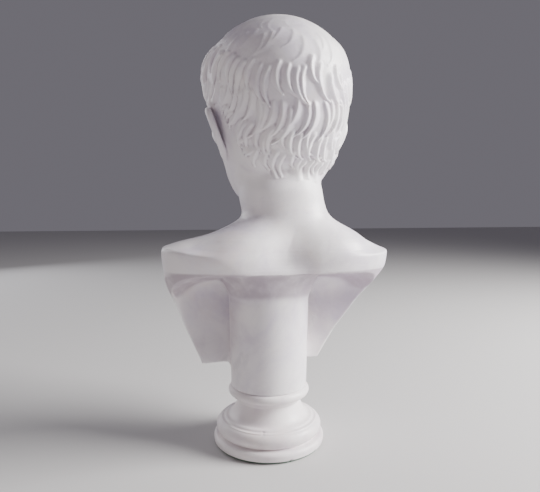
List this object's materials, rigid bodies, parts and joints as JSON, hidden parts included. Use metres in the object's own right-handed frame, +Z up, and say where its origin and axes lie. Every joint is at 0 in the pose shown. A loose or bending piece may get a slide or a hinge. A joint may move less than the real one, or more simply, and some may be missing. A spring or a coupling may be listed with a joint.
{
  "type": "marble bust",
  "caption": "Classical marble portrait bust with short carved hair and bare cut shoulders, hollowed behind round a support pillar, on a round turned socle.",
  "frame": {"origin": "centre of the underside of the felt pad that the socle stands on", "axes": "+Z up; the chest faces -Y; +X is the bust's own left"},
  "size_m": [0.2656, 0.2184, 0.492],
  "materials": {
    "marble_bust": "satin",
    "marble_socle": "satin",
    "setting_mortar": "matte",
    "anchor_brass": "satin",
    "anchor_resin": "gloss",
    "fixing_steel": "satin",
    "felt": "matte"
  },
  "bodies": {
    "root": {"bust": "marble_bust", "socle": "marble_socle", "bedding_disc": "setting_mortar", "anchor_sleeve": "anchor_brass", "sleeve_resin": "anchor_resin", "threaded_rod": "fixing_steel", "plain_washer": "fixing_steel", "lock_washer": "fixing_steel", "hex_nut": "fixing_steel", "felt_pad": "felt"}
  },
  "joints": []
}
